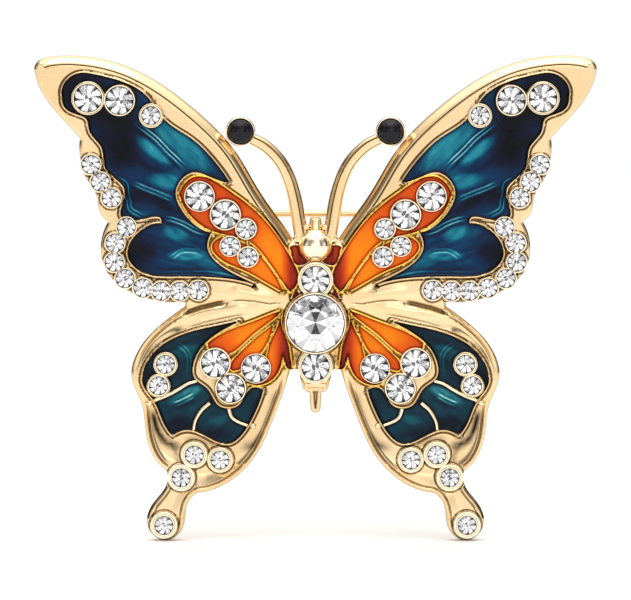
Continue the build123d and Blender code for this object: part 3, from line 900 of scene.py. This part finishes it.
def land_shade(plan, cups, on_land):
    """Painted shade and dark reflections: in the grooves, against the enamel and round the cups."""
    at = Relief(plan)
    # Painted shade lines: against the enamel, in the bead's groove, in the bevel's groove, at the
    # outer edge and in the rim line
    marks = [
        0.95 * fade(at.wall, 0.06),
        0.95 * ease(at.edge, 0.3, 0.7) * bump(at.wall, BEAD_LINE, 0.065),
        0.9 * at.lead * bump(at.edge, BEVEL_WIDTH * at.lead + 0.02, 0.065),
        0.6 * fade(at.edge, 0.06),
        0.85 * at.plain * bump(at.edge, RIM_LINE, 0.06),
    ]
    marks += [dark * stroke(at.plan, points, 0.8 * width) for points, width, _, dark in FOLDS]
    off_bead = ease(at.wall, 0.3, 0.5) * ease(at.edge, 0.4, 0.8)
    marks += [dark * off_bead * stroke(at.plan, points, width) for points, width, dark in SHADES]
    marks += [0.4 * fade(away_from(plan, centre) - cup, 0.03) for centre, cup in cups]
    for centre, cup in on_land:
        marks.append(0.95 * bump(away_from(plan, centre) - cup, CUP_GROOVE, 0.065))
    return np.max(marks, axis=0)


def back_height(plan):
    """Height of the back: a raised border, and a field that echoes the cells round the pads."""
    plan = folded(plan)
    edge, _ = silhouette.depth(plan)
    off_pad = ease(away_from(plan, FINDING_PAD), 3.35, 3.8)
    in_cell = np.where(inside(plan, every_cell), 1, -1) * np.abs(cells.depth(plan)[0])
    echo = 0.35 * ease(in_cell, -0.15, 0.35)
    field = BACK_FIELD * (1 - echo) * ease(edge, 0.95, 1.4) * off_pad
    return 0.2 * (1 - ease(edge, 0.0, 0.25)) + field


def plate_points(on_land):
    """The mesh points of the gold plate: rows where it has detail, and a grid between them."""
    rows = rows_beside(silhouette_loops, EDGE_ROWS, silhouette, -1)
    details = np.concatenate([
        rows_beside(every_cell, CELL_ROWS, cells, 1),
        rows_beside(every_cell, CELL_ROWS[:1], cells, -1),
        *[rows_along(points, FOLD_ROWS) for points, *_ in FOLDS],
    ])
    details = details[silhouette.ask(details)[0] > 0.05]
    details = np.concatenate([details, circles(FINDING_PAD, PAD_ROWS, ROW_STEP)])
    grid = grid_over(silhouette.points.min(0), silhouette.points.max(0), GRID_STEP)
    right = folded(grid)
    off_pad = np.abs(away_from(right, FINDING_PAD) - PAD_ROWS[2]) - 0.6
    off_pad = np.where(inside(right, every_cell), off_pad, 1.0)
    room = np.min([silhouette.ask(grid)[0] - 1.5, cells.ask(right)[0] - 0.6, off_pad], axis=0)
    rounds = [circles(centre, np.add(CUP_ROWS, cup), CUP_ROW_STEP) for centre, cup in on_land]
    points = np.concatenate([rows, details, details * (-1, 1), *rounds, grid[room > 0.1]])
    return points[inside(points, silhouette_loops)]


def plate(cups):
    """The gold plate: one closed relief over the silhouette, sunk under enamel and cups."""
    from_cells = cells.ask(folded(np.array([centre for centre, _ in cups])))[0]
    on_land = [cup for cup, away in zip(cups, from_cells) if away > cup[1] + 0.06]
    plan, faces = sheet(silhouette_loops, plate_points(on_land))
    sunk = inside(folded(plan), every_cell)
    top = np.where(sunk, CELL_FLOOR - 0.02, land_height(plan, on_land))
    for centre, cup in cups:
        under = away_from(plan, centre) < cup - 0.1
        top[under] = WELL_FLOOR
        sunk |= under
    rises = slopes(lambda value: land_height(value, on_land), plan)
    back = back_height(plan)
    shape, normals = slab(plan, faces, top, back, [np.where(sunk, 0, rise) for rise in rises],
                          slopes(back_height, plan), (0.95, 0.32))
    # Painted warm reflection of the orange enamel on the gold round it
    painted_warm_reflection = bump(orange_border.ask(folded(plan))[0], 0, 0.36)
    rough = ease(back, 0.03, 0.15) * ease(silhouette.ask(plan)[0], 0.3, 1.0)
    # Painted light for the material: the warm reflection, and painted shade and dark reflections
    values = {
        "painted_warm_reflection": shape.filled(painted_warm_reflection),
        "shade": shape.filled(land_shade(plan, cups, on_land)),
        "rough_cast": shape.filled(np.zeros(len(plan)), rough),
    }
    made = shape.piece("gold_relief", [GOLD], values=values, normals=normals)
    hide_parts("casting")


# ---- enamel ----

WING_ROOT = np.array([2.4, -9.0])

# The teals' tone before their patches, and where the oranges change: x near the body, and how
# far from the wing's root
TEAL_TONES = {"teal_upper": 0.42, "teal_lower": 0.37}
LIGHT_PATCH_RIM = 3.2
ORANGE_BLENDS = {
    "orange_upper": ((2.5, 3.9), (6.0, 12.5)),
    "orange_lower": ((3.3, 4.9), (6.5, 10.0)),
}

# Lighter and darker patches of paint: middle, half length and width, long direction, amount
PATCHES = {
    "teal_upper": [
        ((14.4, 8.0), 4.6, 1.5, (1, 1.1), 0.26),
        ((17.3, 6.9), 2.3, 0.72, (-1, -0.75), 0.32),
        ((15.8, 3.6), 1.8, 0.85, (1, 0.25), 0.28),
        ((14.9, -1.9), 1.3, 0.8, (1, 0.3), 0.22),
        ((13.9, -4.3), 1.8, 0.55, (1, 0), 0.26),
        ((11.0, -5.2), 2.2, 0.9, (1, 0.5), 0.12),
        ((19.2, -3.9), 2.0, 2.0, (1, 0), -0.36),
        ((16.8, 1.2), 2.6, 0.75, (-1, -0.35), -0.3),
        ((13.0, 1.6), 1.2, 0.6, (1, 0), -0.2),
        ((20.9, 7.3), 2.5, 1.8, (1, 1), -0.42),
        ((24.5, 12.5), 2.8, 2.2, (1, 0.3), -0.5),
        ((21.3, 10.6), 2.4, 1.2, (1, 0.6), -0.42),
        ((17.6, 5.0), 1.6, 0.5, (-1, -0.5), -0.2),
        ((19.4, 2.0), 0.8, 1.4, (0, 1), -0.2),
        ((13.5, -6.0), 3.0, 0.4, (1, 0.05), -0.12),
    ],
    "teal_lower": [
        ((13.9, -19.2), 2.1, 0.6, (-1, 0.5), 0.3),
        ((13.8, -14.6), 0.7, 1.7, (0.15, 1), 0.16),
        ((10.2, -21.9), 0.5, 1.1, (0.1, 1), 0.16),
        ((12.4, -13.4), 2.4, 0.7, (1, -0.25), -0.1),
        ((9.2, -11.9), 1.6, 0.7, (1, -0.3), -0.3),
        ((14.4, -22.3), 1.6, 1.0, (-1, -0.3), -0.24),
        ((10.6, -23.3), 1.8, 0.6, (1, 0.2), -0.22),
        ((17.2, -17.0), 0.9, 2.6, (0.1, 1), -0.24),
        ((7.0, -19.9), 1.0, 1.4, (0.2, 1), -0.1),
    ],
}

# Double painted veins: plan points, and how strong they are. Their dark side is on the left.
VEINS = {
    "teal_upper": [
        ([(19.4, 10.0), (18.2, 9.1), (17.0, 8.15), (15.7, 6.8), (14.85, 6.0), (13.8, 4.95)], 1.0),
        ([(19.5, 3.5), (18.3, 2.9), (17.0, 2.4), (15.1, 1.6)], 0.8),
        ([(16.2, -0.3), (15.2, -0.5), (14.0, -0.95), (12.8, -1.6), (11.4, -2.05)], 0.9),
        ([(15.5, -4.7), (14.6, -4.0), (13.8, -3.8), (12.3, -3.9)], 0.4),
        ([(21.6, 4.0), (20.3, 3.4), (20.1, 2.4), (19.9, 1.5), (19.7, 0.6), (18.7, 0.0),
          (18.1, -0.25)], 0.7),
        ([(16.8, -6.3), (13.4, -6.2), (10.4, -6.35), (7.4, -7.1)], 0.55),
    ],
    "teal_lower": [
        ([(15.2, -20.3), (14.2, -19.9), (12.9, -19.2)], 0.7),
        ([(15.0, -13.6), (14.0, -14.3), (13.5, -15.2), (13.6, -17.0)], 0.4),
    ],
}

# Gold ribs that stand in the lower wing's enamel, and the dots at their outer ends
RIBS = [
    [(17.3, -19.85), (15.8, -19.25), (14.6, -18.6), (13.7, -18.05), (12.7, -17.75)],
    [(11.3, -20.1), (12.2, -20.9), (12.85, -22.0), (13.05, -23.0)],
    [(9.25, -20.7), (8.95, -21.6), (8.3, -22.1), (7.3, -22.5)],
]
RIB_DOTS = ((17.72, -20.1), (6.67, -22.54))
RIB_FOOT = 1.5
BORDER_ROWS = (0.06, 0.14, 0.26, 0.4)
VEIN_ROWS = (-0.5, -0.36, -0.27, -0.19, -0.11, -0.05, 0, 0.05, 0.11, 0.19, 0.27, 0.36, 0.5, 0.65)
RIB_ROWS = (-0.36, -0.28, 0.28, 0.36)


def vein(plan, points):
    """The light pair of lines of a vein, and its dark middle and flank."""
    away, share = along(plan, curve(points))
    light = bump(np.abs(away), 0.19, 0.08)
    dark = 0.4 * bump(away, 0, 0.07) + 0.7 * bump(away, 0.5, 0.2) + 0.5 * bump(away, -0.4, 0.1)
    return light * tips(share), dark * tips(share)


def painted(kind, plan, wall, ribs_here):
    """The tone of an enamel, 0 dark to 1 bright, over its plan, with painted shade at its edges."""
    if kind in PATCHES:
        tone = np.full(len(plan), TEAL_TONES[kind])
        for *patch, amount in PATCHES[kind]:
            tone += amount * blob(plan, *patch, LIGHT_PATCH_RIM if amount > 0 else 1.0)
        # Painted shade at the feet of the gold ribs
        for points in ribs_here:
            tone -= 0.5 * bump(np.abs(along(plan, curve(points))[0]), 0.24, 0.1)
        # Painted shade where the enamel meets the gold
        tone -= 0.6 * fade(wall, 0.1)
        for points, amount in VEINS[kind]:
            light, dark = vein(plan, points)
            tone += amount * (0.55 * light - 0.3 * dark)
        return tone
    if kind == "red":
        # Darker at the wall: painted shade
        return 0.5 + 0.25 * bump(plan[:, 0], 2.3, 0.35) - 0.4 * fade(wall, 0.12)
    near_body, far_out = ORANGE_BLENDS[kind]
    far = ease(away_from(plan, WING_ROOT), *far_out)
    # Darker at the wall: painted shade
    return 0.92 - 0.3 * far - 0.62 * (1 - ease(plan[:, 0], *near_body)) - 0.6 * fade(wall, 0.08)


def enamel_height(plan, border, veins):
    """Height of an enamel: drawn up at its edge, with its veins in relief."""
    wall = border.depth(plan)[0]
    height = ENAMEL_TOP + 0.1 * np.exp(-wall / 0.1) - 0.08 * ease(wall, 0.2, 1.5)
    for points, amount in veins:
        height += 0.1 * amount * vein(plan, points)[0]
    return height


def enamels():
    """Each enamel as a closed filling with a painted tone."""
    for kind, (skin, slot) in SKINS.items():
        loops = cell_loops[kind]
        border = Border(loops)
        veins = VEINS.get(kind, [])
        ribs_here = RIBS if kind == "teal_lower" else []
        grid = grid_over(border.points.min(0), border.points.max(0), ENAMEL_GRID_STEP)
        points = np.concatenate([
            rows_beside(loops, BORDER_ROWS, border, -1),
            grid[border.ask(grid)[0] > 0.48],
            *[rows_along(points, VEIN_ROWS) for points, _ in veins],
            *[rows_along(points, RIB_ROWS) for points in ribs_here],
        ])
        plan, faces = sheet(loops, points[inside(points, loops)])
        flat = np.zeros(len(plan))
        shape, normals = slab(
            plan, faces, enamel_height(plan, border, veins), flat + CELL_FLOOR,
            slopes(lambda value: enamel_height(value, border, veins), plan), (flat, flat), (),
        )
        away = plan - WING_ROOT
        layers = {
            "tone": painted(kind, plan, border.ask(plan)[0], ribs_here),
            "turn": np.arctan2(away[:, 1], away[:, 0]),
            "reach": np.linalg.norm(away, axis=1),
        }
        values = {key: np.tile(layer, 2) for key, layer in layers.items()}
        for side, sign in SIDES:
            wing = shape if sign > 0 else shape.mirrored()
            made = wing.piece(f"{kind}_fill_{side}", [skin], slot=slot, values=values,
                              normals=normals * (sign, 1, 1))
            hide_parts(f"enamel_{kind}_{side}")


def ribs():
    """Half-round gold ribs that divide the lower wing's enamel."""
    turns = np.linspace(0, math.pi, 9)
    round_top = RIB_FOOT + 0.42 * np.sin(turns) ** 0.7
    shape = Shape()
    for points in RIBS:
        sweep(shape, curve(points), 0.25, 0.2, np.cos(turns), round_top)
    dot = [(0, RIB_FOOT), (0.34, 1.55), (0.34, 2.0), (0.24, 2.22), (0.1, 2.3), (0, 2.31)]
    for centre in RIB_DOTS:
        lathe(shape, centre, dot, 24)
    shape.piece("wing_ribs_right", [PALE_LIT_GOLD])
    shape.mirrored().piece("wing_ribs_left", [PALE_LIT_GOLD])


# ---- body, antennae and finding ----

ANTENNA_LINE = [
    (1.35, -3.0), (1.75, -0.9), (2.25, 1.95), (3.0, 4.3), (3.95, 5.95), (5.4, 7.35), (6.9, 8.15),
]
CREST_GROOVE = 1.95
HEAD_PLACE = (0, -3.25)
HEAD_RADIUS = 1.8
HEAD_HEIGHT = 2.3
NECK_KNOB = [(0, 0.6), (0.36, 0.7), (0.36, 1.55), (0.27, 1.72), (0, 1.78)]

# The neck, the saddle behind the head, and the tail's bars and tongue: (z, half width, height)
RIDGES = [
    [(-0.32, 0.45, 1.3), (-0.5, 0.62, 1.6), (-1.3, 0.7, 1.75), (-2.2, 0.75, 1.8)],
    [(-4.7, 1.0, 2.1), (-5.2, 1.25, 2.3), (-6.0, 1.3, 2.2)],
    [(-14.2, 1.6, 1.7), (-16.5, 1.85, 1.85), (-17.4, 1.62, 2.4), (-17.9, 1.52, 2.3)],
    [(-17.8, 1.44, 2.0), (-18.0, 1.46, 2.25), (-18.35, 1.38, 2.25), (-18.5, 1.3, 2.0)],
    [(-18.4, 1.2, 1.95), (-18.75, 1.05, 1.9), (-18.88, 0.8, 1.7)],
    [(-18.7, 0.68, 1.65), (-20.6, 0.56, 1.6), (-20.95, 0.45, 1.5), (-21.13, 0.24, 1.25)],
]
RIDGE_BASE = 0.9
RIDGE_SIDE = 0.95


def antennae():
    """Curled antennae with a flat grooved crest, and the cups and black stones at their tips."""
    low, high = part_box("black_stone_right")
    tip = np.array([(low.x + high.x) / 2, (low.z + high.z) / 2]) / MM
    radius = (high.x - low.x) / 2 / MM
    top = BACK_Y - low.y / MM
    rim = BACK_Y - high.y / MM + 0.95
    track = curve(ANTENNA_LINE)
    turns = np.arange(36) * 2 * math.pi / 36
    crest = np.abs(np.cos(turns)) ** 0.92 * np.sign(np.cos(turns))
    rise = np.clip(np.sin(turns), -0.9, 0.9) - 0.2 * bump(turns, CREST_GROOVE, 0.13)
    shape = Shape()
    sweep(shape, track, 0.79, 0.64, crest, 1.0 + 0.8 * rise)
    lathe(shape, tip, [
        (0, CUP_FOOT), (1.45, CUP_FOOT), (1.58, 0.55), (1.6, rim - 0.35), (1.57, rim - 0.12),
        (1.5, rim), (1.42, rim - 0.03), (radius + 0.02, rim - 0.16), (radius + 0.01, rim - 0.6),
        (0, rim - 0.94),
    ], marks=1)
    # Painted shade in the crest's groove
    painted_groove_shade = 0.85 * bump(turns, CREST_GROOVE, 0.12)
    values = {"shade": shape.filled(np.tile(painted_groove_shade, len(track)))}
    shape.piece("antenna_right", [GOLD, PALE_LIT_GOLD], values=values)
    shape.mirrored().piece("antenna_left", [GOLD, PALE_LIT_GOLD], values=values)
    bow = (radius**2 + (top - rim) ** 2) / (2 * (top - rim))
    arc = [(r, top - bow + math.sqrt(bow**2 - r**2)) for r in radius * (1 - np.linspace(0, 1, 9))]
    profile = [(0, rim - 0.9), (radius, rim - 0.9), (radius, rim - 0.03), *arc]
    for side, sign in SIDES:
        dome = Shape()
        lathe(dome, tip * (sign, 1), profile, 64)
        made = dome.piece(f"black_dome_{side}", [BLACK], slot="black_stone")
        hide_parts(f"black_stone_{side}")


def ridge(shape, rows):
    """A raised bar along the middle line, from rows of (z, half width, height)."""
    turns = np.linspace(0, math.pi, 17)
    sections = []
    for z, half, height in rows:
        xs = half * np.sign(np.cos(turns)) * np.abs(np.cos(turns)) ** 0.7
        hs = RIDGE_SIDE + (height - RIDGE_SIDE) * np.sin(turns) ** 0.7
        over = place(np.stack([xs, np.full(len(xs), z)], 1), hs)
        sections.append(np.concatenate([over, place([(-half, z), (half, z)], RIDGE_BASE)]))
    loft(shape, sections)


def body():
    """Head, neck with its two knobs, the saddle behind the head, and the tail with its tongue."""
    head = Shape()
    lathe(head, HEAD_PLACE, [(HEAD_RADIUS * math.sin(a), HEAD_HEIGHT + HEAD_RADIUS * math.cos(a))
                             for a in np.linspace(math.pi, 0, 29)], 64)
    head.piece("head_ball", [PALE_LIT_GOLD])
    shape = Shape()
    for rows in RIDGES:
        ridge(shape, rows)
    for x in (-0.98, 0.98):
        lathe(shape, (x, -1.35), NECK_KNOB, 24)
    space = np.concatenate(shape.verts) / MM
    tongue = ease(-space[:, 2], 18.9, 19.0)
    # Painted shade down the middle of the tail's tongue, a hollow the mesh does not have
    painted_tongue_shade = 0.6 * (1 - ease(np.abs(space[:, 0]), 0.42, 0.52)) * tongue
    shape.piece("body_segments", [GOLD], values={"shade": painted_tongue_shade})


def finding():
    """The pin, its hinge and its catch: the CAD shapes with their sharp edges eased."""
    sharp = math.radians(40)
    for node in ("hinge_bracket", "hinge_rivet", "pin_stem", "catch_base", "catch_roller"):
        source = frame["nodes"][node]
        work = bmesh.new()
        work.from_mesh(source.data)
        bmesh.ops.remove_doubles(work, verts=work.verts, dist=2e-6)
        bmesh.ops.dissolve_limit(work, angle_limit=math.radians(1), verts=work.verts,
                                 edges=work.edges)
        mesh = bpy.data.meshes.new(node)
        work.to_mesh(mesh)
        work.free()
        mesh.materials.clear()
        mesh.materials.append(WIRE_GOLD)
        made = linked("eased_" + node, mesh)
        ease_edges = made.modifiers.new("eased", "BEVEL")
        ease_edges.width = 0.07 * MM
        ease_edges.segments = 2
        ease_edges.limit_method = "ANGLE"
        ease_edges.angle_limit = sharp
        mesh.polygons.foreach_set("use_smooth", [True] * len(mesh.polygons))
        mesh.set_sharp_from_angle(angle=sharp)
        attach(made, source["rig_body"])
        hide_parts(node)


# ---- stage ----

FLOOR_HALF = 1.5
CAMERA_DISTANCE = 0.5
CAMERA_TILT = math.radians(3)
VIEW_WIDTH = 67.5 * MM
AMBIENT = 0.05
STUDIO_TINT = (1, 0.985, 0.96, 1)

# Soft round panels of the studio: direction, inner and outer angle, strength
PANELS = [
    ((0, -1, 0), 10, 46, 1.14),
    ((0, -0.92, 0.42), 5, 13, -0.6),
    ((0, 0, 1), 28, 60, 1.75),
    ((0, 1, 0.1), 8, 60, 0.5),
    ((-0.75, -0.5, 0.43), 6, 24, 0.35),
    ((0.75, -0.5, 0.43), 6, 24, 0.35),
    ((-0.9, -0.45, 0.1), 6, 18, 0.7),
    ((0.9, -0.45, 0.1), 6, 18, 0.7),
]
# Name, place, size and power of the lamps, which all point at the brooch
LAMPS = [
    ("overhead", (0, -0.12, 0.4), 0.3, 0.5),
    ("front", (0.1, -0.5, 0.25), 0.35, 0.3),
]
LAMP_TARGET = Vector((0, 0, -0.009))


def stage():
    """A plain pale floor, a soft studio round it, two lamps and the camera."""
    low, high = CAD_BOX
    signs = ((-1, -1), (1, -1), (1, 1), (-1, 1))
    corners = [(x * FLOOR_HALF, y * FLOOR_HALF, low.z) for x, y in signs]
    floor_shape = bpy.data.meshes.new("studio_floor")
    floor_shape.from_pydata(corners, [], [(0, 1, 2, 3)])
    floor = linked("studio_floor", floor_shape)
    pale, n = material("floor_paint")
    n.shader(Base_Color=n.mix(n.noise(3.0), (0.9, 0.9, 0.9, 1), (0.94, 0.94, 0.94, 1)),
             Roughness=0.6, Emission_Color=(1, 1, 1, 1), Emission_Strength=0.1)
    floor_shape.materials.append(pale)

    world = bpy.data.worlds.new("studio")
    bpy.context.scene.world = world
    n = Nodes(world)
    direction = n.new("ShaderNodeTexCoord").outputs["Generated"]
    light = AMBIENT
    for towards, inner, outer, strength in PANELS:
        facing = n.new("ShaderNodeVectorMath", {0: direction, 1: Vector(towards).normalized()},
                       operation="DOT_PRODUCT").outputs["Value"]
        limits = [math.cos(math.radians(angle)) for angle in (outer, inner)]
        light = n.math("ADD", n.remap(facing, *limits, 0, strength, "SMOOTHSTEP"), light)
    studio = n.new("ShaderNodeBackground", {"Strength": light, "Color": STUDIO_TINT})
    backdrop = n.new("ShaderNodeBackground", {"Color": (1, 1, 1, 1)})
    seen = n.new("ShaderNodeLightPath").outputs["Is Camera Ray"]
    chosen = n.new("ShaderNodeMixShader", {0: seen, 1: studio.outputs[0], 2: backdrop.outputs[0]})
    n.new("ShaderNodeOutputWorld", {0: chosen.outputs[0]})

    for name, spot, size, power in LAMPS:
        lamp = bpy.data.lights.new(name, "AREA")
        lamp.size = size
        lamp.energy = power
        holder = linked(name, lamp)
        holder.location = spot
        holder.rotation_euler = (LAMP_TARGET - Vector(spot)).to_track_quat("-Z", "Y").to_euler()

    camera = bpy.data.cameras.new("camera")
    camera.lens = camera.sensor_width * CAMERA_DISTANCE / VIEW_WIDTH
    camera.clip_start = 0.01
    holder = linked("camera", camera)
    middle = Vector((0, (low.y + high.y) / 2, (low.z + high.z) / 2 - 0.2 * MM))
    outward = Vector((0, -math.cos(CAMERA_TILT), math.sin(CAMERA_TILT)))
    holder.location = middle + CAMERA_DISTANCE * outward
    holder.rotation_euler = (math.pi / 2 - CAMERA_TILT, 0, 0)
    bpy.context.scene.camera = holder
    bpy.context.scene.view_settings.view_transform = "Standard"


plate(stones())
enamels()
ribs()
antennae()
body()
finding()
stage()
